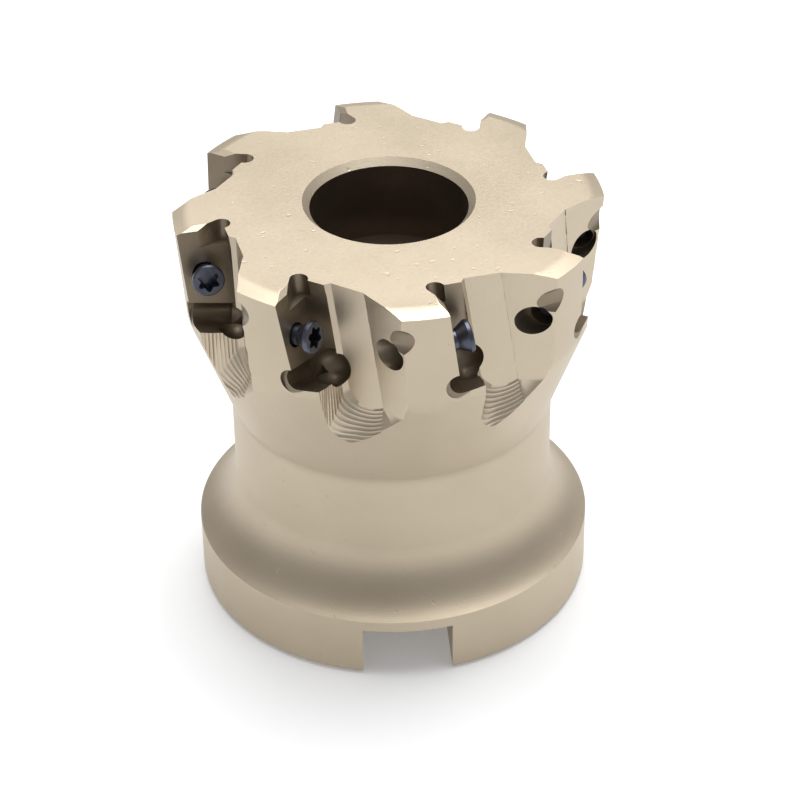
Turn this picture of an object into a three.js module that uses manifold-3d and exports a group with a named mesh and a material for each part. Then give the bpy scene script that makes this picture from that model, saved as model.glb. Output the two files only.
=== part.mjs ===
// A shell-type face mill: a one-piece steel cutter body with eight insert seats, and the eight
// Torx clamp screws that stand in them. Millimetres, +Z up, the cutting face on top.
// The origin is the centre of the back face, and the two drive slots lie along Y.
import * as THREE from 'three';
import { mergeVertices } from 'three/addons/utils/BufferGeometryUtils.js';
import Module from 'manifold-3d';

const wasm = await Module();
wasm.setup();

const DEG = Math.PI / 180;

// ---- driving dimensions -------------------------------------------------------------------

const TEETH = 8;
const FIRST_SEAT = 11 * DEG; // direction of the first seat, from +X
const HEIGHT = 50;

const HUB_R = 23.4; // the ring that carries the drive slots
const HUB_H = 7.6;
const HUB_CHAMFER = 0.5;
const FLARE_R = 8.2; // concave sweep from the ring up to the neck
const NECK_R = 18.85;
const NECK_TOP = 24.8;
const CONE_SLOPE = Math.tan(20 * DEG); // from the neck out to the teeth
const RIM_R = 24.4; // widest, just under the face chamfer
const RIM_SLOPE = Math.tan(4.4 * DEG); // back taper of the teeth
const FACE_CHAMFER = 2.0;
const FACE_CHAMFER_H = 0.6;

const BORE_R = 11; // fits a 22 mm arbor
const BORE_DEPTH = 20;
const BORE_CHAMFER = 0.6;
const CLAMP_HOLE_R = 5.5; // passes an M10 clamp screw
const CLAMP_SEAT_R = 9; // takes its head
const CLAMP_SEAT_DEPTH = 10;
const CLAMP_SEAT_CHAMFER = 0.8;
const SLOT_W = 10.4; // drive slots for the arbor's keys
const SLOT_DEPTH = 6.3;

const SEAT_TILT = 8.7 * DEG; // the seats lean so that their lower ends lead
const SEAT_R = 19.12; // inner wall of the insert seat, at the face
const SEAT_LEAN = Math.tan(6 * DEG); // that wall runs inwards as it goes down
const SEAT_WIDTH = 2.9; // from the seat to the gullet
const SHELF_DROP = 12.4; // face to the insert's shelf, at the inner wall
const SHELF_RISE = Math.tan(9.5 * DEG); // the shelf rises outwards
const SEAT_BEVEL = 0.45;

const FLOOR_R = 18.4; // gullet floor
const FLOOR_FROM = 3.35; // the floor's two edges, measured from the seat
const FLOOR_TO = 7.4;
const FLOOR_DROP = 15.8;
const FLOOR_CORNER = 2.7;
const FLOOR_STEP = 0.55; // small sloping step round the floor
const RAMP_SLOPE = 0.3; // back of the next tooth, rising from the floor
const RAMP_TWIST = 0.012; // it is steeper at the top and flatter lower down
const RAMP_LEVEL = -8; // height at which it has the plain slope
const RAMP_DROP = 17.3; // lower end of the ramp at the floor
const RAMP_END_RISE = 0.715; // the ramp's lower end climbs as it goes back
const RUNOUT_R = 7; // ball-shaped lower end of the gullet
const RUNOUT_Y = 3.75;
const RUNOUT_DROP = 16;
const RUNOUT_SIDE = 2.4; // the run-out's side wall, from the seat
const RUNOUT_SIDE_LEAN = 0.11;
const RUNOUT_CORNER = 1.8;

const NOTCH_R = 1.0; // relief at the top of the seat's inner corner
const NOTCH_X = 19.25;
const NOTCH_Y = -0.1;
const NOTCH_ANGLE = 23.4 * DEG;
const NOTCH_DROP = 2.4;
const RELIEF_R = 1.25; // relief along the seat's lower corner
const RELIEF_Y = 0.125;
const RELIEF_BALL_R = 2.2;
const RELIEF_BALL = [18.9, 1.9, -10.95];

const SCREW_X = 21.63; // where the screw stands on the seat
const SCREW_DROP = 5.6;
const THREAD_R = 1.25; // M2.5
const THREAD_LENGTH = 4.2; // in the body, as it stands
const NECK_UNDER_HEAD_R = 1.1;
const NECK_UNDER_HEAD = 0.75;
const HEAD_R = 1.83;
const HEAD_TOP = 2.4;
const HEAD_RIM = 0.55;
const SOCKET_R = 1.1; // six-lobe socket: mean radius, lobe height and depth
const SOCKET_LOBE = 0.2;
const SOCKET_DEPTH = 1.3;
const SCREW_CLEARANCE = 0.3;
const BACK_HOLE_R = 1.85; // the screw's hole is wider at its back end, and drilled from there
const BACK_HOLE_X = 21.4;
const BACK_HOLE_DROP = 5.3;
const BACK_HOLE_FROM = 5.0;
const DRIVER_R = 2.15; // room for the screwdriver in the tooth opposite
const DRIVER_FROM = 8;

const AIR = 8; // how far cutting tools reach past the body
const PLAY = 0.01; // overlap of tools that meet face to face

const ROUND = 80; // sides of the turned shape
const SMALL_ROUND = 16; // sides of holes and screws

// ---- helpers ------------------------------------------------------------------------------

function solid(geometry) {
  geometry.deleteAttribute('normal');
  geometry.deleteAttribute('uv');
  const merged = mergeVertices(geometry, 1e-5);
  return new wasm.Manifold(new wasm.Mesh({
    numProp: 3,
    vertProperties: new Float32Array(merged.attributes.position.array),
    triVerts: new Uint32Array(merged.index.array),
  }));
}

function geometryOf(manifold) {
  const mesh = manifold.getMesh();
  const geometry = new THREE.BufferGeometry();
  geometry.setAttribute('position', new THREE.BufferAttribute(mesh.vertProperties, 3));
  geometry.setIndex(new THREE.BufferAttribute(mesh.triVerts, 1));
  geometry.computeVertexNormals();
  return geometry;
}

function outline(points) {
  return new THREE.Shape(points.map(([x, y]) => new THREE.Vector2(x, y)));
}

function turned(points, sides) {
  const profile = points.map(([r, z]) => new THREE.Vector2(r, z));
  return new THREE.LatheGeometry(profile, sides).rotateX(Math.PI / 2);
}

// Tools are drawn in a seat's own frame: x runs outwards from the cutter's axis, y stands
// square to the seat, and z runs up along it from the cutting face.
const X = new THREE.Vector3(1, 0, 0);
const Y = new THREE.Vector3(0, 1, 0);
const Z = new THREE.Vector3(0, 0, 1);

function alongZ(shape, from, to, steps = 1) {
  const options = { depth: to - from, bevelEnabled: false, curveSegments: 5, steps };
  return new THREE.ExtrudeGeometry(shape, options).translate(0, 0, from);
}

// the shape is drawn in y and z
function alongX(shape, from, to, options = {}) {
  const settings = { depth: to - from, bevelEnabled: false, curveSegments: 5, ...options };
  return new THREE.ExtrudeGeometry(shape, settings)
    .translate(0, 0, from)
    .applyMatrix4(new THREE.Matrix4().makeBasis(Y, Z, X));
}

// the shape is drawn in z and x
function alongY(shape, from, to) {
  const options = { depth: to - from, bevelEnabled: false };
  return new THREE.ExtrudeGeometry(shape, options)
    .translate(0, 0, from)
    .applyMatrix4(new THREE.Matrix4().makeBasis(Z, X, Y));
}

function rodAlongY(radius, from, to, x, z) {
  return new THREE.CylinderGeometry(radius, radius, to - from, SMALL_ROUND)
    .translate(x, (from + to) / 2, z);
}

function toSeat(index) {
  const matrix = new THREE.Matrix4().makeRotationZ(FIRST_SEAT + (index * 2 * Math.PI) / TEETH);
  matrix.multiply(new THREE.Matrix4().makeTranslation(0, 0, HEIGHT));
  return matrix.multiply(new THREE.Matrix4().makeRotationX(SEAT_TILT));
}

// ---- the turned blank -----------------------------------------------------------------------

function flare() {
  const centreX = NECK_R + FLARE_R;
  const start = Math.acos((centreX - HUB_R) / FLARE_R);
  const centreZ = HUB_H + FLARE_R * Math.sin(start);
  const steps = 6;
  return Array.from({ length: steps + 1 }, (_, i) => {
    const angle = start * (1 - i / steps);
    return [centreX - FLARE_R * Math.cos(angle), centreZ - FLARE_R * Math.sin(angle)];
  });
}

function blank() {
  const rimZ = HEIGHT - FACE_CHAMFER_H;
  // where the cone from the neck meets the back taper from the rim
  const gap = RIM_R - RIM_SLOPE * (rimZ - NECK_TOP) - NECK_R;
  const coneH = gap / (CONE_SLOPE - RIM_SLOPE);
  const seatZ = HEIGHT - CLAMP_SEAT_DEPTH;
  const profile = [
    [BORE_R + BORE_CHAMFER, 0],
    [HUB_R - HUB_CHAMFER, 0],
    [HUB_R, HUB_CHAMFER],
    ...flare(),
    [NECK_R, NECK_TOP],
    [NECK_R + CONE_SLOPE * coneH, NECK_TOP + coneH],
    [RIM_R, rimZ],
    [RIM_R - FACE_CHAMFER, HEIGHT],
    [CLAMP_SEAT_R + CLAMP_SEAT_CHAMFER, HEIGHT],
    [CLAMP_SEAT_R, HEIGHT - CLAMP_SEAT_CHAMFER],
    [CLAMP_SEAT_R, seatZ],
    [CLAMP_HOLE_R, seatZ],
    [CLAMP_HOLE_R, BORE_DEPTH],
    [BORE_R, BORE_DEPTH],
    [BORE_R, BORE_CHAMFER],
    [BORE_R + BORE_CHAMFER, 0],
  ];
  return solid(turned(profile, ROUND));
}

function driveSlots() {
  const length = 2 * (HUB_R + AIR);
  return solid(new THREE.BoxGeometry(SLOT_W, length, 2 * SLOT_DEPTH));
}

// ---- the tools that cut one seat and its gullet ---------------------------------------------

function insertPocket() {
  const reach = RIM_R + AIR;
  const shelf = (x) => -SHELF_DROP + SHELF_RISE * (x - (SEAT_R - SEAT_LEAN * SHELF_DROP));
  const inner = SEAT_R - SEAT_LEAN * SHELF_DROP;
  return solid(alongY(outline([
    [AIR, SEAT_R + SEAT_LEAN * AIR],
    [-SHELF_DROP, inner],
    [shelf(reach), reach],
    [AIR, reach],
  ]), 0, SEAT_WIDTH));
}

function gulletFloor() {
  const shape = new THREE.Shape();
  const bottom = -FLOOR_DROP;
  shape.moveTo(FLOOR_FROM, AIR);
  shape.lineTo(FLOOR_FROM, bottom + FLOOR_CORNER);
  shape.absarc(FLOOR_FROM + FLOOR_CORNER, bottom + FLOOR_CORNER, FLOOR_CORNER,
    Math.PI, 1.5 * Math.PI, false);
  const rampStart = FLOOR_TO + FLOOR_STEP;
  const rampWidth = 2 * AIR;
  shape.lineTo(rampStart, bottom);
  shape.lineTo(rampStart, -RAMP_DROP);
  shape.lineTo(rampStart + rampWidth, -RAMP_DROP + RAMP_END_RISE * rampWidth);
  shape.lineTo(rampStart + rampWidth, AIR);
  // the bevel widens the cut by the step as it leaves the floor
  const step = {
    bevelEnabled: true, bevelThickness: FLOOR_STEP, bevelSize: FLOOR_STEP, bevelSegments: 1,
  };
  const cut = solid(alongX(shape, FLOOR_R + FLOOR_STEP, RIM_R + AIR, step));
  return cut.subtract(ramp());
}

// the back of the next tooth, which the gullet's cutters leave standing
function ramp() {
  const far = FLOOR_TO + 2 * AIR;
  const wedge = alongZ(outline([
    [FLOOR_R - AIR, FLOOR_TO],
    [FLOOR_R, FLOOR_TO],
    [FLOOR_R + RAMP_SLOPE * (far - FLOOR_TO), far],
    [FLOOR_R - AIR, far],
  ]), -4 * AIR, 2 * AIR, 6);
  const { position } = wedge.attributes;
  for (let i = 0; i < position.count; i++) {
    const twist = RAMP_TWIST * (position.getY(i) - FLOOR_TO) * (position.getZ(i) - RAMP_LEVEL);
    position.setX(i, position.getX(i) + twist);
  }
  return solid(wedge);
}

function runout() {
  const centreX = FLOOR_R + FLOOR_STEP + RUNOUT_R;
  const ball = new THREE.SphereGeometry(RUNOUT_R, 2 * SMALL_ROUND, SMALL_ROUND)
    .rotateX(Math.PI / 2)
    .translate(centreX, RUNOUT_Y, -RUNOUT_DROP);
  const column = new THREE.CylinderGeometry(RUNOUT_R, RUNOUT_R, RUNOUT_DROP, 2 * SMALL_ROUND)
    .rotateX(Math.PI / 2)
    .translate(centreX, RUNOUT_Y, -RUNOUT_DROP / 2);
  const low = -RUNOUT_DROP - RUNOUT_R / 2;
  const lowSide = RUNOUT_SIDE + RUNOUT_SIDE_LEAN * (low + RUNOUT_CORNER + SHELF_DROP);
  const side = new THREE.Shape();
  side.moveTo(RUNOUT_SIDE, -SHELF_DROP / 2);
  side.lineTo(RUNOUT_SIDE, -SHELF_DROP);
  side.lineTo(lowSide, low + RUNOUT_CORNER);
  side.absarc(lowSide + RUNOUT_CORNER, low + RUNOUT_CORNER, RUNOUT_CORNER,
    Math.PI, 1.5 * Math.PI, false);
  side.lineTo(FLOOR_TO + AIR, low - RUNOUT_CORNER);
  side.lineTo(FLOOR_TO + AIR, -SHELF_DROP / 2);
  const window = solid(alongX(side, FLOOR_R, RIM_R + AIR));
  return solid(ball).add(solid(column)).intersect(window).subtract(ramp());
}

function notch() {
  const shape = new THREE.Shape();
  shape.absarc(0, 0, NOTCH_R, Math.PI / 2, 1.5 * Math.PI, false);
  shape.lineTo(2 * AIR, -NOTCH_R);
  shape.lineTo(2 * AIR, NOTCH_R);
  const cut = alongZ(shape, -NOTCH_DROP, AIR)
    .rotateZ(NOTCH_ANGLE)
    .translate(NOTCH_X, NOTCH_Y, 0);
  return solid(cut);
}

function cornerRelief() {
  const [x, y, z] = RELIEF_BALL;
  const length = 2 * AIR;
  const channel = new THREE.CylinderGeometry(RELIEF_R, RELIEF_R, length, SMALL_ROUND)
    .rotateZ(-Math.PI / 2)
    .translate(length / 2, 0, 0)
    .rotateY(-Math.atan(SHELF_RISE))
    .translate(x, RELIEF_Y, z);
  const ball = new THREE.SphereGeometry(RELIEF_BALL_R, SMALL_ROUND, SMALL_ROUND / 2)
    .translate(x, y, z);
  return solid(ball).add(solid(channel));
}

function seatBevel() {
  const reach = RIM_R + AIR;
  return solid(alongX(outline([
    [PLAY, -SEAT_BEVEL - PLAY],
    [AIR, AIR],
    [-SEAT_BEVEL - AIR, AIR],
  ]), NOTCH_X, reach));
}

function screwHole() {
  const hole = rodAlongY(THREAD_R + SCREW_CLEARANCE, -AIR, 1, SCREW_X, -SCREW_DROP);
  const back = rodAlongY(BACK_HOLE_R, -1.5 * AIR, -BACK_HOLE_FROM, BACK_HOLE_X, -BACK_HOLE_DROP);
  const driver = rodAlongY(DRIVER_R, DRIVER_FROM, 3 * AIR, SCREW_X, -SCREW_DROP);
  return solid(hole).add(solid(back)).add(solid(driver));
}

function seatTools() {
  return insertPocket()
    .add(gulletFloor())
    .add(runout())
    .add(notch())
    .add(cornerRelief())
    .add(seatBevel())
    .add(screwHole());
}

// ---- the pieces -------------------------------------------------------------------------------

const steel = new THREE.MeshStandardMaterial({ color: 0xc4b49c, roughness: 0.45, metalness: 0.8 });
const darkSteel = new THREE.MeshStandardMaterial({ color: 0x4a4e5c, roughness: 0.35, metalness: 0.9 });

function cutterBody() {
  const tools = seatTools();
  let body = blank().subtract(driveSlots());
  for (let i = 0; i < TEETH; i++) body = body.subtract(tools.transform(toSeat(i).elements));
  return geometryOf(body);
}

// the screw's axis is y, and y = 0 is the seat it stands on
function screw() {
  const coneTop = HEAD_TOP - HEAD_RIM;
  const profile = [
    [0, -THREAD_LENGTH],
    [THREAD_R - SCREW_CLEARANCE, -THREAD_LENGTH],
    [THREAD_R, -THREAD_LENGTH + SCREW_CLEARANCE],
    [THREAD_R, -SCREW_CLEARANCE],
    [NECK_UNDER_HEAD_R, 0],
    [NECK_UNDER_HEAD_R, NECK_UNDER_HEAD],
    [HEAD_R, coneTop],
    [HEAD_R, HEAD_TOP],
    [0, HEAD_TOP],
  ].map(([r, y]) => new THREE.Vector2(r, y));
  const shaft = solid(new THREE.LatheGeometry(profile, SMALL_ROUND));
  return geometryOf(shaft.subtract(socket()));
}

function socket() {
  const sides = 2 * SMALL_ROUND;
  const points = Array.from({ length: sides }, (_, i) => {
    const angle = (i / sides) * 2 * Math.PI;
    const r = SOCKET_R + SOCKET_LOBE * Math.cos(6 * angle);
    return [r * Math.cos(angle), r * Math.sin(angle)];
  });
  return solid(alongY(outline(points), HEAD_TOP - SOCKET_DEPTH, HEAD_TOP + 1));
}

const group = new THREE.Group();

const body = new THREE.Mesh(cutterBody(), steel);
body.name = 'cutter_body';
group.add(body);

const screwGeometry = screw();
for (let i = 0; i < TEETH; i++) {
  const seat = new THREE.Group();
  seat.applyMatrix4(toSeat(i));
  const mesh = new THREE.Mesh(screwGeometry, darkSteel);
  mesh.name = `insert_screw_${i + 1}`;
  mesh.position.set(SCREW_X, 0, -SCREW_DROP);
  seat.add(mesh);
  group.add(seat);
}

export default group;
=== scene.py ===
# %% [markdown]
# # A face mill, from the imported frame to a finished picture
# A face mill is a steel disc of teeth that hangs on a machine's arbor and planes metal flat.
# This one is a body turned from bar, with eight seats milled into it, and a small six-lobe
# screw standing in each seat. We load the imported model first: it tells us where every piece
# is and what moves. Then we make a finer piece for each node, and let it stand in its place.

# %% Load the frame
import math

import bpy
from mathutils import Matrix, Vector


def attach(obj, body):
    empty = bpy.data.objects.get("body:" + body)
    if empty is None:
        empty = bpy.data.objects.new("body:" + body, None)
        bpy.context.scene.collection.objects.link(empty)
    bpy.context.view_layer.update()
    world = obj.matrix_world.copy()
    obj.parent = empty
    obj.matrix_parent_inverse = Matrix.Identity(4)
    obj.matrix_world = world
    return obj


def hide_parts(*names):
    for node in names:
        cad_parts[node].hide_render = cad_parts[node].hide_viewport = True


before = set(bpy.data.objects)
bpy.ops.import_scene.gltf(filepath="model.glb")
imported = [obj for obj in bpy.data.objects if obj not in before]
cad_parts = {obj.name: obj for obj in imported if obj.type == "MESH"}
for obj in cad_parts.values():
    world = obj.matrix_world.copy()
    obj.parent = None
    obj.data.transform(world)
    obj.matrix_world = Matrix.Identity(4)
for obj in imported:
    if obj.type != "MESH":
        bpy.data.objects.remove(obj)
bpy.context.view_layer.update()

# %% [markdown]
# ## The camera
# A catalogue picture of a cutter is taken from a third of the way up, with a long lens, so
# that the round shapes stay calm. We place the camera first, because every later choice is
# judged through it. It looks at the cutter's axis, and leans by less than a degree.

# %% Place the camera
CAMERA_PLACE = (-0.016286, -0.250138, 0.196475)
AIMED_AT = (0.000983, -0.000068, 0.02246)
LENS = 115.66  # millimetres
LEAN = -0.671  # degrees

camera_data = bpy.data.cameras.new("camera")
camera_data.lens = LENS
camera_data.sensor_width = 36
camera_data.clip_start = 0.01
camera = bpy.data.objects.new("camera", camera_data)
bpy.context.collection.objects.link(camera)
camera.location = CAMERA_PLACE
aim = Vector(AIMED_AT) - camera.location
camera.rotation_mode = "QUATERNION"
upright = aim.to_track_quat("-Z", "Y").to_matrix().to_4x4()
lean = Matrix.Rotation(math.radians(LEAN), 4, "Z")
camera.rotation_quaternion = (upright @ lean).to_quaternion()
bpy.context.scene.camera = camera
print("camera at", [round(v, 3) for v in camera.location])

# %% [markdown]
# ## A few hand tools
# We work in millimetres, as a machinist does, and bring each finished piece to metres at the
# end. An operator acts on all that is selected, so each tool below starts by clearing the
# selection. `ring_stack` is our lathe: it starts from a circle and pulls it out ring by ring.
# `slab` is our saw: it starts from a flat outline and pulls it to a thickness.

# %% Selection and modes
def only(piece):
    if bpy.context.object and bpy.context.object.mode != "OBJECT":
        bpy.ops.object.mode_set(mode="OBJECT")
    bpy.ops.object.select_all(action="DESELECT")
    piece.select_set(True)
    bpy.context.view_layer.objects.active = piece


def edit(piece):
    only(piece)
    bpy.ops.object.mode_set(mode="EDIT")
    bpy.ops.mesh.select_all(action="SELECT")


def done():
    bpy.ops.object.mode_set(mode="OBJECT")
    return bpy.context.object


def face_outwards(piece, gap=0.0005):
    edit(piece)
    bpy.ops.mesh.remove_doubles(threshold=gap)
    bpy.ops.mesh.normals_make_consistent(inside=False)
    return done()


def settle(piece):
    only(piece)
    bpy.ops.object.transform_apply(location=True, rotation=True, scale=True)
    return piece


# %% The lathe and the saw
def ring_stack(name, profile, sides):
    """Turns a list of (radius, height) about Z. A radius of 0 closes the shape."""
    first_r, first_z = profile[0]
    bpy.ops.object.select_all(action="DESELECT")
    bpy.ops.mesh.primitive_circle_add(vertices=sides, radius=first_r, location=(0, 0, first_z))
    piece = bpy.context.object
    piece.name = name
    settle(piece)
    edit(piece)
    radius, height = first_r, first_z
    for r, z in profile[1:]:
        bpy.ops.mesh.extrude_edges_move(TRANSFORM_OT_translate={"value": (0, 0, z - height)})
        if r == 0:
            bpy.ops.mesh.merge(type="CENTER")
        else:
            grow = r / radius
            bpy.ops.transform.resize(value=(grow, grow, 1), center_override=(0, 0, z))
        radius, height = r, z
    done()
    return face_outwards(piece)


def slab(name, outline, thickness):
    """Pulls an outline of (x, y) points up by a thickness."""
    bpy.ops.object.select_all(action="DESELECT")
    bpy.ops.mesh.primitive_circle_add(vertices=len(outline), radius=1, fill_type="NGON")
    piece = bpy.context.object
    piece.name = name
    for vertex, (x, y) in zip(piece.data.vertices, outline):
        vertex.co = (x, y, 0)
    edit(piece)
    bpy.ops.mesh.extrude_region_move(TRANSFORM_OT_translate={"value": (0, 0, thickness)})
    done()
    return face_outwards(piece)


def arc(x, y, radius, start, end, steps):
    angles = [start + (end - start) * i / steps for i in range(steps + 1)]
    return [(x + radius * math.cos(a), y + radius * math.sin(a)) for a in angles]


def stand(piece, x_axis, y_axis, origin):
    """Turns a slab so that its outline lies along two given axes."""
    x_axis, y_axis = Vector(x_axis), Vector(y_axis)
    turn = Matrix((x_axis, y_axis, x_axis.cross(y_axis))).transposed().to_4x4()
    piece.matrix_world = Matrix.Translation(origin) @ turn
    return settle(piece)


def copy_of(piece, name):
    twin = piece.copy()
    twin.data = piece.data.copy()
    twin.name = name
    bpy.context.collection.objects.link(twin)
    return twin


def combine(piece, tool, operation):
    """Adds or cuts away a tool. The new faces keep the tool's finish, and the tool is used up."""
    only(piece)
    step = piece.modifiers.new(operation.lower(), "BOOLEAN")
    step.operation = operation
    step.solver = "MANIFOLD"
    step.material_mode = "TRANSFER"
    step.object = tool
    bpy.ops.object.modifier_apply(modifier=step.name)
    bpy.data.objects.remove(tool)
    return piece


print("tools ready")

# %% [markdown]
# ## The finishes
# The real body is plated with a warm, silvery nickel over a surface that was blasted with
# fine beads, so it shines softly and has no mirror in it. Tiny pits and a slow drift of tone
# keep it from looking like plastic. We build every finish with one small function, and a
# class that lets us write shader maths as plain sums.

# %% Shader maths as sums
class Wire:
    """A node's output that can be added, multiplied and compared like a number."""

    def __init__(self, tree, socket):
        self.tree, self.socket = tree, socket

    def maths(self, kind, other):
        node = self.tree.nodes.new("ShaderNodeMath")
        node.operation = kind
        for slot, value in zip(node.inputs, (self, other)):
            if isinstance(value, Wire):
                self.tree.links.new(value.socket, slot)
            else:
                slot.default_value = value
        return Wire(self.tree, node.outputs[0])

    def __add__(self, other):
        return self.maths("ADD", other)

    def __sub__(self, other):
        return self.maths("SUBTRACT", other)

    def __mul__(self, other):
        return self.maths("MULTIPLY", other)

    def between(self, low, high):
        """0 below low, 1 above high, and smooth from one to the other."""
        node = self.tree.nodes.new("ShaderNodeMapRange")
        node.interpolation_type = "SMOOTHSTEP"
        self.tree.links.new(self.socket, node.inputs["Value"])
        node.inputs["From Min"].default_value = low
        node.inputs["From Max"].default_value = high
        return Wire(self.tree, node.outputs[0])


def add_node(tree, kind, settings=(), **inputs):
    node = tree.nodes.new(kind)
    for name, value in dict(settings).items():
        setattr(node, name, value)
    for name, value in inputs.items():
        slot = node.inputs[name.replace("_", " ")]
        if isinstance(value, Wire):
            tree.links.new(value.socket, slot)
        else:
            slot.default_value = value
    return node


def place_on_piece(tree):
    node = tree.nodes.new("ShaderNodeTexCoord")
    return Wire(tree, node.outputs["Object"])


def noise(tree, size, detail=2.0, stretch=(1, 1, 1)):
    """Cloudy noise whose blobs are about `size` millimetres across."""
    mapping = add_node(tree, "ShaderNodeMapping", Vector=place_on_piece(tree), Scale=stretch)
    cloud = add_node(tree, "ShaderNodeTexNoise", Scale=1000 / size, Detail=detail,
                     Vector=Wire(tree, mapping.outputs[0]))
    return Wire(tree, cloud.outputs[0])


def tone(tree, factor, dark, light):
    node = add_node(tree, "ShaderNodeMix", {"data_type": "RGBA"})
    for slot, value in ((node.inputs[0], factor), (node.inputs[6], dark), (node.inputs[7], light)):
        if isinstance(value, Wire):
            tree.links.new(value.socket, slot)
        else:
            slot.default_value = (*value, 1) if isinstance(value, tuple) else value
    return Wire(tree, node.outputs[2])


def raised(tree, height, depth):
    """Turns a height into relief, `depth` millimetres from its lowest to its highest."""
    node = add_node(tree, "ShaderNodeBump", Strength=1.0, Distance=depth / 1000, Height=height)
    return Wire(tree, node.outputs[0])


def finish_of(name, metallic, paint):
    """Makes a material. `paint` gets its node tree and returns colour, roughness, normal."""
    material = bpy.data.materials.new(name)
    material.use_nodes = True
    tree = material.node_tree
    shader = tree.nodes["Principled BSDF"]
    shader.inputs["Metallic"].default_value = metallic
    colour, roughness, normal = paint(tree)
    for slot, value in (("Base Color", colour), ("Roughness", roughness), ("Normal", normal)):
        tree.links.new(value.socket, shader.inputs[slot])
    return material


# %% [markdown]
# The body has four finishes. Outside it is blasted. In the gullets the strokes of the mills
# still show under the plating. The insert seats get painted shade, darker colours that stand
# in for the shadow in their pockets, and the bore gets the darkest painted shade. Each is a
# drift of tone between two colours, with a fine relief over it. The grain that most of them
# share is about as wide as the mark of one bead.

# %% The body's finishes
GRAIN = 0.28  # millimetres
PLATING = 0.86  # how metallic it is
NICKEL = (0.60, 0.515, 0.395)
NICKEL_DEEP = (0.52, 0.44, 0.33)
# Painted shade for the insert seats: darker colours that stand in for the shadow in their pockets.
SEAT_SHADE_DARK, SEAT_SHADE_LIGHT = (0.22, 0.175, 0.125), (0.30, 0.245, 0.18)
# Painted shade for the bore: the darkest colours, standing in for the shadow down the bore.
BORE_SHADE_DARK, BORE_SHADE_LIGHT = (0.16, 0.12, 0.09), (0.24, 0.19, 0.145)


def blasted(tree):
    drift = noise(tree, 14, 3)
    grain = noise(tree, GRAIN, 2)
    pits = noise(tree, 0.9, 1).between(0.72, 0.78)
    colour = tone(tree, drift.between(0.3, 0.7) * 0.6 + grain * 0.4, NICKEL_DEEP, NICKEL)
    roughness = grain * 0.16 + drift * 0.08 + 0.36
    return colour, roughness, raised(tree, grain - pits * 2.0, 0.012)


def cut_clean(tree):
    drift = noise(tree, 5, 2)
    grain = noise(tree, GRAIN, 2)
    strokes = noise(tree, 0.5, 2, (1, 1, 0.06))
    colour = tone(tree, drift * 0.5 + strokes * 0.5, NICKEL_DEEP, NICKEL)
    roughness = grain * 0.12 + strokes * 0.1 + 0.3
    return colour, roughness, raised(tree, grain * 0.6 + strokes * 0.8, 0.010)


def seat_shade(tree):
    drift = noise(tree, 4, 2)
    grain = noise(tree, GRAIN, 2)
    # Painted shade: the seat is coloured dark to stand in for the shadow in the insert pocket.
    colour = tone(tree, drift, SEAT_SHADE_DARK, SEAT_SHADE_LIGHT)
    return colour, grain * 0.14 + 0.34, raised(tree, grain, 0.008)


def turned_and_shaded(tree):
    drift = noise(tree, 6, 2)
    rings = noise(tree, 0.4, 1, (0.05, 0.05, 1))
    # Painted shade: the bore is coloured darkest to stand in for the shadow down it; the rings are
    # real turning marks.
    colour = tone(tree, drift, BORE_SHADE_DARK, BORE_SHADE_LIGHT)
    return colour, rings * 0.15 + 0.26, raised(tree, rings, 0.006)


body_blasted = finish_of("nickel_blasted", PLATING, blasted)
body_cut = finish_of("nickel_milled", PLATING, cut_clean)
# The seat finish carries painted shade in its colour.
body_seat_shade = finish_of("nickel_seat_painted_shade", PLATING, seat_shade)
# The bore finish carries painted shade in its colour.
body_bore_turned_shaded = finish_of("nickel_bored_painted_shade", PLATING, turned_and_shaded)
print("finishes:", [m.name for m in (body_blasted, body_cut, body_seat_shade, body_bore_turned_shaded)])

# %% [markdown]
# ## Turning the blank
# The body starts as a bar in a lathe. Its profile runs from the flat back face out over the
# hub, sweeps in to a narrow neck, opens in a cone to the rim, and crosses the cutting face to
# the stepped bore. One circle, pulled out ring by ring, follows it. The hub's corner and the
# bore's mouths have small flats, because a turned edge is always broken, and that is where
# the light catches. The slot for the arbor's keys is then sawn across the back.

# %% The profile in millimetres
HEIGHT = 50.0
HUB_R, HUB_H = 23.4, 7.6
FLARE_R, NECK_R, NECK_TOP = 8.2, 18.85, 24.8
RIM_R, RIM_SLOPE = 24.4, math.tan(math.radians(4.4))
CONE_SLOPE = math.tan(math.radians(20))
FACE_CHAMFER, FACE_CHAMFER_H = 2.0, 0.6
BORE_R, BORE_DEPTH = 11.0, 20.0
SEAT_HEAD_R, SEAT_HEAD_DEPTH, CLAMP_HOLE_R = 9.0, 10.0, 5.5
HUB_CHAMFER, HUB_BREAK = 0.5, 0.15
BORE_CHAMFER, SEAT_HEAD_CHAMFER, LEDGE_CHAMFER = 0.6, 0.8, 0.2
SLOT_W, SLOT_DEPTH = 10.4, 6.3
BLANK_SIDES, LONGEST_RING = 240, 1.6


def flare_points(steps):
    centre_r = NECK_R + FLARE_R
    start = math.acos((centre_r - HUB_R) / FLARE_R)
    centre_z = HUB_H + FLARE_R * math.sin(start)
    angles = [start * (1 - i / steps) for i in range(steps + 1)]
    return [(centre_r - FLARE_R * math.cos(a), centre_z - FLARE_R * math.sin(a)) for a in angles]


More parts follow.
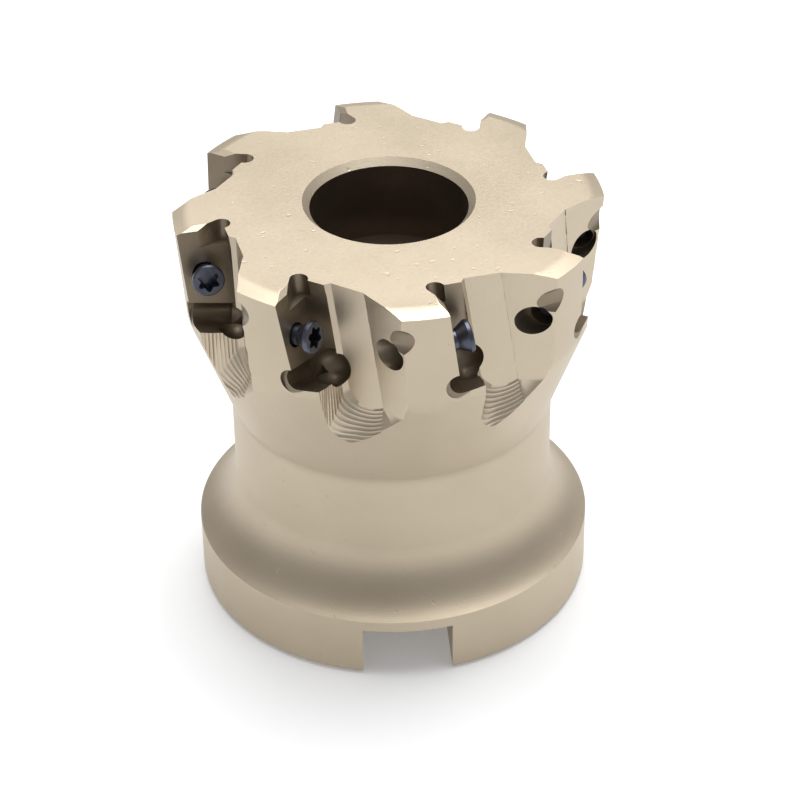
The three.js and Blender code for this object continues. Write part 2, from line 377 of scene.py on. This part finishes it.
def blank_profile():
    rim_z = HEIGHT - FACE_CHAMFER_H
    gap = RIM_R - RIM_SLOPE * (rim_z - NECK_TOP) - NECK_R
    cone_h = gap / (CONE_SLOPE - RIM_SLOPE)
    ledge = HEIGHT - SEAT_HEAD_DEPTH
    return [
        (BORE_R + BORE_CHAMFER, 0), (HUB_R - HUB_CHAMFER, 0),
        (HUB_R - HUB_BREAK, HUB_BREAK), (HUB_R, HUB_CHAMFER),
        *flare_points(20),
        (NECK_R, NECK_TOP), (NECK_R + CONE_SLOPE * cone_h, NECK_TOP + cone_h),
        (RIM_R, rim_z), (RIM_R - FACE_CHAMFER, HEIGHT),
        (SEAT_HEAD_R + SEAT_HEAD_CHAMFER, HEIGHT), (SEAT_HEAD_R, HEIGHT - SEAT_HEAD_CHAMFER),
        (SEAT_HEAD_R, ledge), (CLAMP_HOLE_R + LEDGE_CHAMFER, ledge),
        (CLAMP_HOLE_R, ledge - LEDGE_CHAMFER), (CLAMP_HOLE_R, BORE_DEPTH),
        (BORE_R, BORE_DEPTH), (BORE_R, BORE_CHAMFER), (BORE_R + BORE_CHAMFER, 0),
    ]


def with_more_rings(profile, longest):
    """Splits the long stretches, so that smooth shading has short faces to work on."""
    split = profile[:1]
    for (r0, z0), (r1, z1) in zip(profile, profile[1:]):
        count = max(1, math.ceil(math.hypot(r1 - r0, z1 - z0) / longest))
        for i in range(1, count + 1):
            split.append((r0 + (r1 - r0) * i / count, z0 + (z1 - z0) * i / count))
    return split


# %% Turn it and slot its back
blank = ring_stack("face_mill_body", with_more_rings(blank_profile(), LONGEST_RING), BLANK_SIDES)

bpy.ops.object.select_all(action="DESELECT")
bpy.ops.mesh.primitive_cube_add(size=2)
slot_cutter = bpy.context.object
slot_cutter.scale = (SLOT_W / 2, 40, SLOT_DEPTH)
settle(slot_cutter)
combine(blank, slot_cutter, "DIFFERENCE")
print("blank faces:", len(blank.data.polygons))

# %% [markdown]
# ## The shapes that cut one seat
# A tooth is what is left when eight gullets are milled away. We draw the space that the
# cutters sweep, once, in the seat's own frame: x runs out from the axis, y stands square to
# the seat, and z runs up along it from the cutting face. The seat leans back by 8.7 degrees.

# %% The pocket that holds the insert
SEAT_R, SEAT_LEAN, SEAT_WIDTH = 19.12, math.tan(math.radians(6)), 2.9
SHELF_DROP, SHELF_RISE = 12.4, math.tan(math.radians(9.5))
AIR = 8.0  # how far each cut runs out past the metal
REACH = RIM_R + AIR
X, Y, Z = (1, 0, 0), (0, 1, 0), (0, 0, 1)


def insert_pocket():
    inner = SEAT_R - SEAT_LEAN * SHELF_DROP
    outer = -SHELF_DROP + SHELF_RISE * (REACH - inner)
    top = SEAT_R + SEAT_LEAN * AIR
    outline = [(AIR, top), (-SHELF_DROP, inner), (outer, REACH), (AIR, REACH)]
    return stand(slab("pocket", outline, SEAT_WIDTH), Z, X, (0, 0, 0))


# %% [markdown]
# The back of the next tooth is a twisted ramp that rises to the rim and runs out at its lower
# end. We make the metal that the cutters left there, and take it out of the ramp's cut.

# %% The ramp behind each gullet
FLOOR_R, FLOOR_FROM, FLOOR_TO, FLOOR_DROP = 18.4, 3.35, 7.4, 15.8
RAMP_SLOPE, RAMP_TWIST, RAMP_LEVEL = 0.3, 0.012, -8.0
RUNOUT_RISE, RUNOUT_SLOPE, RUNOUT_FROM = 0.112, 0.54, -15.4
RAMP_CORNER, RAMP_TOE, RAMP_LOW = -15.5, (5.6, -17.2), -24
CUT_FOOT = 17  # inside radius of the ramp's cut
BLOCK_FOOT, BLOCK_HEIGHT = 14, 4


def shaped_block(name, low, high, height_at, cuts):
    """A block whose top follows a height over (y, z). It is cut into strips along z first."""
    (y0, z0), (y1, z1) = low, high
    outline = [(y0, z0), (y1, z0), (y1, z1), (y0, z1)]
    piece = stand(slab(name, outline, BLOCK_HEIGHT), Y, Z, (BLOCK_FOOT, 0, 0))
    for level in range(1, cuts):
        edit(piece)
        bpy.ops.mesh.bisect(plane_co=(0, 0, z0 + (z1 - z0) * level / cuts), plane_no=Z)
        done()
    for vertex in piece.data.vertices:
        if vertex.co.x > BLOCK_FOOT + BLOCK_HEIGHT / 2:
            vertex.co.x = height_at(vertex.co.y, vertex.co.z)
    return face_outwards(piece)


def twisted(y, z):
    return FLOOR_R + (RAMP_SLOPE + RAMP_TWIST * (z - RAMP_LEVEL)) * (y - FLOOR_TO)


def running_out(y, z):
    return FLOOR_R + RUNOUT_RISE * (y - FLOOR_TO) + RUNOUT_SLOPE * (RUNOUT_FROM - z)


def ramp_cut():
    far = FLOOR_TO + 2 * AIR
    outline = [(FLOOR_TO, AIR), (FLOOR_TO, RAMP_CORNER), RAMP_TOE, (RAMP_TOE[0], RAMP_LOW),
               (far, RAMP_LOW), (far, AIR)]
    piece = stand(slab("ramp_cut", outline, REACH - CUT_FOOT), Y, Z, (CUT_FOOT, 0, 0))
    ramp = shaped_block("ramp", (5, -30), (far + 1, AIR + 1), twisted, 14)
    combine(piece, ramp, "DIFFERENCE")
    runout = shaped_block("runout", (5, -26), (far + 1, -13), running_out, 1)
    return combine(piece, runout, "DIFFERENCE")


# %% [markdown]
# In front of the ramp lies the gullet's flat floor, and below it a hollow that a ball-nosed
# cutter left. The cutter went round it again and again, a little further out each time, so
# fine steps follow its side wall and curl along its bottom. We start from the floor's outline
# and add one ring after another. Each pass bulges, and leaves a sharp crest to the next.
# A ring is known by its growth: 0 at the floor's outline, and 1 after eight passes. The first
# hundredth is the small step down from the floor.

# %% The floor and the hollow with its cutter marks
PASSES, PASSES_IN_ONE, STEPS, CREST = 10, 8, 6, 0.04
FIRST = 0.01
SIDE_STEP, SIDE_GROWTH, SIDE_SHIFT = 0.5, 3.4, 0.5
BOTTOM_STEP, BOTTOM_GROWTH, BOTTOM_CURVE = 0.1, 1.6, 1.25
BOTTOM_SHIFT, BOTTOM_DROP = 0.2, 3.6
CORNER_R, CORNER_LOSS = 2.7, 0.8
WALL_LEAN, LEANS_BELOW, LEANS_FULLY_AT = 0.17, -11.5, 0.8
CURL_FROM, CURL_SHIFT, CURL_DEPTH = 5.8, 1.0, 8
OVER_CREASE, ABOVE_CREASE = 0.03, -6
SIDE_POINTS, CORNER_POINTS, BOTTOM_POINTS = 9, 14, 12


def hollow_ring(s):
    """One ring at growth `s`, from the top of the side wall round to the top of the ramp."""
    started = min(s / FIRST, 1)
    swing = abs(math.sin(math.pi * PASSES_IN_ONE * max(s - FIRST, 0)))
    crest = CREST * (1 - swing) ** 1.5 * started
    side_x = FLOOR_R + SIDE_STEP * started + SIDE_GROWTH * s
    side_y = FLOOR_FROM - SIDE_SHIFT * started + crest
    bottom_x = FLOOR_R + BOTTOM_STEP * started + BOTTOM_GROWTH * s ** BOTTOM_CURVE + crest
    bottom_z = -FLOOR_DROP - BOTTOM_SHIFT * started - BOTTOM_DROP * s
    corner = CORNER_R - CORNER_LOSS * min(s, 1)

    def leaning(y, z):
        lean = WALL_LEAN * min(z - LEANS_BELOW, 0) * min(s / LEANS_FULLY_AT, 1)
        return y + lean * (FLOOR_TO - y) / (FLOOR_TO - side_y)

    points = []
    for i in range(SIDE_POINTS):
        z = AIR + (bottom_z + corner - AIR) * i / SIDE_POINTS
        points.append((side_x, leaning(side_y, z), z))
    for i in range(CORNER_POINTS):
        q = i / CORNER_POINTS
        turn = math.pi * (1 + q / 2)
        y = side_y + corner + corner * math.cos(turn)
        z = bottom_z + corner + corner * math.sin(turn)
        points.append((side_x + (bottom_x - side_x) * q * q * (3 - 2 * q), leaning(y, z), z))
    middle, right = CURL_FROM - CURL_SHIFT * min(s, 1), FLOOR_TO + OVER_CREASE
    for i in range(BOTTOM_POINTS + 1):
        y = side_y + corner + (right - side_y - corner) * i / BOTTOM_POINTS
        curl = max(0, y - middle) ** 2 / CURL_DEPTH
        points.append((bottom_x, leaning(y, bottom_z), bottom_z + curl))
    points.append((bottom_x, right, ABOVE_CREASE))
    points.append((bottom_x, right, AIR))
    return points


def floor_and_hollow():
    levels = [0] + [FIRST + i / (PASSES_IN_ONE * STEPS) for i in range(PASSES * STEPS + 1)]
    rings = [hollow_ring(s) for s in levels]
    rings.append([(REACH, y, z) for _, y, z in rings[-1]])
    count = len(rings[0])
    piece = ring_stack("hollow", [(1, i) for i in range(len(rings))], count)
    edit(piece)
    bpy.ops.mesh.fill_holes(sides=0)
    done()
    for vertex in piece.data.vertices:
        around = round(math.atan2(vertex.co.y, vertex.co.x) / (2 * math.pi) * count) % count
        vertex.co = rings[round(vertex.co.z)][around]
    return face_outwards(piece)


# %% [markdown]
# Small cuts come last: a round-ended notch and a ball-ended channel keep the insert's corners
# free, the seat's top edge is broken, and a hole takes the screw. That hole is wider from the
# back, and the screwdriver that reaches the next seat leaves a scoop in the tooth before it.

# %% The small cuts
SCREW_X, SCREW_DROP = 21.63, 5.6
HOLE_R, BACK_HOLE_R, DRIVER_R = 1.4, 1.85, 2.15
BACK_HOLE_FROM = (21.4, -12, -5.3)
NOTCH_R, NOTCH_DEPTH, NOTCH_TURN = 1.0, 2.4, 23.4
NOTCH_X, NOTCH_Y = 19.25, -0.1
BALL_R, BALL_CENTRE = 2.2, (18.9, 1.9, -10.95)
CHANNEL_R, CHANNEL_FROM = 1.25, (18.9, 0.125, -10.95)
SPOT_R, SPOT_FROM, SPOT_ALONG = 1.5, (18.9, -0.2, -11.2), 4.42
EDGE_BREAK, EDGE_FROM = 0.45, 19.25
ROUND_SIDES = 48


def rod(name, radius, length, start, direction):
    bpy.ops.object.select_all(action="DESELECT")
    bpy.ops.mesh.primitive_cylinder_add(vertices=ROUND_SIDES, radius=radius, depth=length)
    piece = bpy.context.object
    piece.name = name
    direction = Vector(direction).normalized()
    piece.rotation_mode = "QUATERNION"
    piece.rotation_quaternion = direction.to_track_quat("Z", "Y")
    piece.location = Vector(start) + direction * (length / 2)
    return settle(piece)


def ball(name, radius, centre):
    bpy.ops.object.select_all(action="DESELECT")
    bpy.ops.mesh.primitive_uv_sphere_add(segments=ROUND_SIDES, ring_count=ROUND_SIDES // 2,
                                         radius=radius, location=centre)
    bpy.context.object.name = name
    return settle(bpy.context.object)


def notch():
    outline = [*arc(0, 0, NOTCH_R, math.pi / 2, 1.5 * math.pi, 20),
               (2 * AIR, -NOTCH_R), (2 * AIR, NOTCH_R)]
    piece = slab("notch", outline, NOTCH_DEPTH + AIR)
    turn = math.radians(NOTCH_TURN)
    return stand(piece, (math.cos(turn), math.sin(turn), 0), (-math.sin(turn), math.cos(turn), 0),
                 (NOTCH_X, NOTCH_Y, -NOTCH_DEPTH))


def corner_relief():
    rise = math.atan(SHELF_RISE)
    along = Vector((math.cos(rise), 0, math.sin(rise)))
    piece = ball("relief", BALL_R, BALL_CENTRE)
    combine(piece, rod("channel", CHANNEL_R, 2 * AIR, CHANNEL_FROM, along), "UNION")
    spot_start = Vector(SPOT_FROM) + along * SPOT_ALONG
    return combine(piece, rod("spot", SPOT_R, AIR, spot_start, along), "UNION")


def seat_bevel():
    outline = [(0.01, -EDGE_BREAK - 0.01), (AIR, AIR), (-EDGE_BREAK - AIR, AIR)]
    return stand(slab("bevel", outline, REACH - EDGE_FROM), Y, Z, (EDGE_FROM, 0, 0))


def screw_hole():
    piece = rod("hole", HOLE_R, AIR + 1, (SCREW_X, -AIR, -SCREW_DROP), Y)
    combine(piece, rod("back", BACK_HOLE_R, 7, BACK_HOLE_FROM, Y), "UNION")
    driver = rod("driver", DRIVER_R, 2 * AIR, (SCREW_X, AIR, -SCREW_DROP), Y)
    return combine(piece, driver, "UNION")


# %% Mark the finishes and join the tools
def dressed(piece, *materials):
    piece.data.materials.clear()
    for material in materials:
        piece.data.materials.append(material)
    return piece


seat_tool = dressed(insert_pocket(), body_seat_shade)
for make in (floor_and_hollow, ramp_cut, seat_bevel):
    combine(seat_tool, dressed(make(), body_cut), "UNION")
# The notch, the corner relief and the screw hole take the seats' painted shade as well.
for make in (notch, corner_relief, screw_hole):
    combine(seat_tool, dressed(make(), body_seat_shade), "UNION")
print("seat tool faces:", len(seat_tool.data.polygons))

# %% [markdown]
# ## Cutting the eight seats
# The same tool is carried round in equal steps, as on an indexing head. Before that the wall
# of the bore gets its own finish, whose colour is painted shade, and each cut then leaves the
# tool's finish on what it cut, which puts painted shade on the seats.

# %% Cut them
TEETH = 8
FIRST_SEAT, SEAT_TILT = 11, 8.7  # degrees


def at_seat(index):
    """The way from a seat's own frame to its place on the body."""
    turn = Matrix.Rotation(math.radians(FIRST_SEAT + 360 / TEETH * index), 4, "Z")
    tilt = Matrix.Rotation(math.radians(SEAT_TILT), 4, "X")
    return turn @ (Matrix.Translation((0, 0, HEIGHT)) @ tilt)


# The bore's wall takes the second finish, painted shade that stands in for the shadow down the
# bore.
dressed(blank, body_blasted, body_bore_turned_shaded)
for face in blank.data.polygons:
    in_bore = math.hypot(face.center.x, face.center.y) < SEAT_HEAD_R + 0.1
    if in_bore and face.center.z < HEIGHT - 1:
        face.material_index = 1
for index in range(TEETH):
    tool = copy_of(seat_tool, "tool")
    tool.matrix_world = at_seat(index)
    settle(tool)
    combine(blank, tool, "DIFFERENCE")
bpy.data.objects.remove(seat_tool)
print("body faces:", len(blank.data.polygons))

# %% [markdown]
# ## Shading
# The round faces are shaded smooth, and edges sharper than 30 degrees stay crisp. Where a cut
# meets a round face it leaves long, thin triangles, which would show as smears. Weighted
# normals cure that, because each corner then takes its direction from its largest faces. The
# finished body is brought from millimetres to metres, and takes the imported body's place.

# %% Shade and bring to metres
MERGED = 0.004  # corners nearer than this become one


def even_out(piece):
    only(piece)
    bpy.ops.object.shade_smooth_by_angle(angle=math.radians(30))
    even = piece.modifiers.new("even_shading", "WEIGHTED_NORMAL")
    even.keep_sharp = True
    even.weight = 100
    bpy.ops.object.modifier_apply(modifier=even.name)
    return piece


def to_metres(piece):
    edit(piece)
    bpy.ops.transform.resize(value=(0.001,) * 3, center_override=(0, 0, 0))
    done()
    return settle(piece)


face_outwards(blank, MERGED)
body = to_metres(even_out(blank))
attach(body, "body")
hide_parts("cutter_body")
print("body triangles:", sum(len(f.vertices) - 2 for f in body.data.polygons))

# %% [markdown]
# ## The insert screws
# Each screw is M2.5 with a cone under its head, which pulls the insert into its corner. It
# is blue-black from the oxide on it. We turn one, wind its thread with the Screw modifier,
# cut its six-lobe socket, and copy it to the eight seats. A fine bevel breaks its edges, and
# each one then shows as a thin bright line.

# %% Oxide on turned steel
OXIDE_DARK, OXIDE_LIGHT = (0.055, 0.06, 0.08), (0.13, 0.14, 0.18)


def oxide(tree):
    drift = noise(tree, 1.2, 2)
    grain = noise(tree, 0.12, 2)
    colour = tone(tree, drift, OXIDE_DARK, OXIDE_LIGHT)
    return colour, grain * 0.16 + 0.24, raised(tree, grain, 0.004)


screw_finish = finish_of("screw_oxide", 0.9, oxide)

# %% Turn one screw
HEAD_R, HEAD_TOP = 1.83, 2.4
SHANK_R, SHANK_END, COLLAR_R = 1.0, -4.2, 1.12
THREAD_R, PITCH, TURNS, THREAD_FROM = 1.2, 0.45, 7, -3.85
SOCKET_R, LOBE, SOCKET_DEPTH, SOCKET_POINTS = 1.1, 0.2, 1.3, 72


def wound_thread():
    bpy.ops.object.select_all(action="DESELECT")
    bpy.ops.mesh.primitive_circle_add(vertices=4, radius=0.2)
    thread = bpy.context.object
    thread.name = "thread"
    corners = [(0.9, -0.2), (THREAD_R, -0.03), (THREAD_R, 0.03), (0.9, 0.2)]
    for vertex, (r, z) in zip(thread.data.vertices, corners):
        vertex.co = (r, 0, z + THREAD_FROM)
    wind = thread.modifiers.new("wind", "SCREW")
    wind.angle = 2 * math.pi
    wind.screw_offset = PITCH
    wind.iterations = TURNS
    wind.steps = wind.render_steps = 32
    wind.use_normal_calculate = True
    only(thread)
    bpy.ops.object.modifier_apply(modifier=wind.name)
    edit(thread)
    bpy.ops.mesh.fill_holes(sides=0)
    done()
    return face_outwards(thread)


def six_lobe_socket():
    outline = []
    for i in range(SOCKET_POINTS):
        angle = 2 * math.pi * i / SOCKET_POINTS
        radius = SOCKET_R + LOBE * math.cos(6 * angle)
        outline.append((radius * math.cos(angle), radius * math.sin(angle)))
    socket = slab("socket", outline, 2)
    socket.location = (0, 0, HEAD_TOP - SOCKET_DEPTH)
    return settle(socket)


def one_screw():
    profile = [(SHANK_R - 0.15, SHANK_END), (SHANK_R, SHANK_END + 0.15), (SHANK_R, -0.5),
               (COLLAR_R, -0.3), (COLLAR_R, 0.7), (COLLAR_R + 0.06, 0.8),
               (HEAD_R - 0.08, 1.78), (HEAD_R, 1.9), (HEAD_R, HEAD_TOP - 0.14),
               (HEAD_R - 0.14, HEAD_TOP), (0.6, HEAD_TOP - 0.02)]
    piece = ring_stack("insert_screw", profile, 64)
    edit(piece)
    bpy.ops.mesh.fill_holes(sides=0)
    done()
    combine(face_outwards(piece), wound_thread(), "UNION")
    combine(piece, six_lobe_socket(), "DIFFERENCE")
    return stand(piece, Z, X, (0, 0, 0))


# %% Break its edges and copy it to the seats
def break_edges(piece, width, angle):
    face_outwards(piece, MERGED)
    only(piece)
    bevel = piece.modifiers.new("broken_edges", "BEVEL")
    bevel.width = width
    bevel.segments = 2
    bevel.limit_method = "ANGLE"
    bevel.angle_limit = math.radians(angle)
    bevel.use_clamp_overlap = False
    bpy.ops.object.modifier_apply(modifier=bevel.name)
    return even_out(piece)


screw = break_edges(dressed(one_screw(), screw_finish), 0.03, 40)
for index in range(TEETH):
    twin = copy_of(screw, f"screw_{index + 1}_turned")
    twin.matrix_world = at_seat(index) @ Matrix.Translation((SCREW_X, 0, -SCREW_DROP))
    settle(twin)
    to_metres(twin)
    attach(twin, f"screw_{index + 1}")
    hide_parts(f"insert_screw_{index + 1}")
bpy.data.objects.remove(screw)
print("screw triangles:", sum(len(f.vertices) - 2 for f in twin.data.polygons))

# %% [markdown]
# ## Floor and light
# The cutter stands on a white table under a wide, soft lamp. Metal shows what is round it,
# so the room matters as much as the lamp. The room lights the metal at about a third of
# white, so that its sides stay calm, and is itself seen white behind it. The table glows a
# little where it is seen, so that it runs into the room without an edge.

# %% Table
TABLE_GLOW = 0.2

bpy.ops.object.select_all(action="DESELECT")
bpy.ops.mesh.primitive_plane_add(size=4, location=(0, 0, -0.0002))
table = bpy.context.object
table.name = "table"
table_finish = bpy.data.materials.new("table_white")
table_finish.use_nodes = True
tree = table_finish.node_tree
table_shader = tree.nodes["Principled BSDF"]
table_shader.inputs["Base Color"].default_value = (0.86, 0.87, 0.88, 1)
table_shader.inputs["Roughness"].default_value = 0.7
path = add_node(tree, "ShaderNodeLightPath")
seen = Wire(tree, path.outputs["Is Camera Ray"]) + Wire(tree, path.outputs["Is Glossy Ray"])
table_shader.inputs["Emission Color"].default_value = (1, 1, 1, 1)
tree.links.new((seen * TABLE_GLOW).socket, table_shader.inputs["Emission Strength"])
table.data.materials.append(table_finish)
print("table ready")

# %% Room and lamp
ROOM_LIGHT = 0.35
ROOM_SEEN = 0.65  # added where the room itself is seen

world = bpy.data.worlds.new("room")
bpy.context.scene.world = world
world.use_nodes = True
tree = world.node_tree
path = add_node(tree, "ShaderNodeLightPath")
level = Wire(tree, path.outputs["Is Camera Ray"]) * ROOM_SEEN + ROOM_LIGHT
tree.links.new(level.socket, tree.nodes["Background"].inputs["Strength"])
tree.nodes["Background"].inputs["Color"].default_value = (1, 1, 1, 1)

softbox_data = bpy.data.lights.new("softbox_above", "AREA")
softbox_data.size = 0.5
softbox_data.energy = 4.0
softbox = bpy.data.objects.new("softbox_above", softbox_data)
bpy.context.collection.objects.link(softbox)
softbox.location = (0.05, 0.12, 0.55)
toward = Vector((0, 0, 0.03)) - softbox.location
softbox.rotation_mode = "QUATERNION"
softbox.rotation_quaternion = toward.to_track_quat("-Z", "Y")
bpy.context.scene.view_settings.view_transform = "Standard"
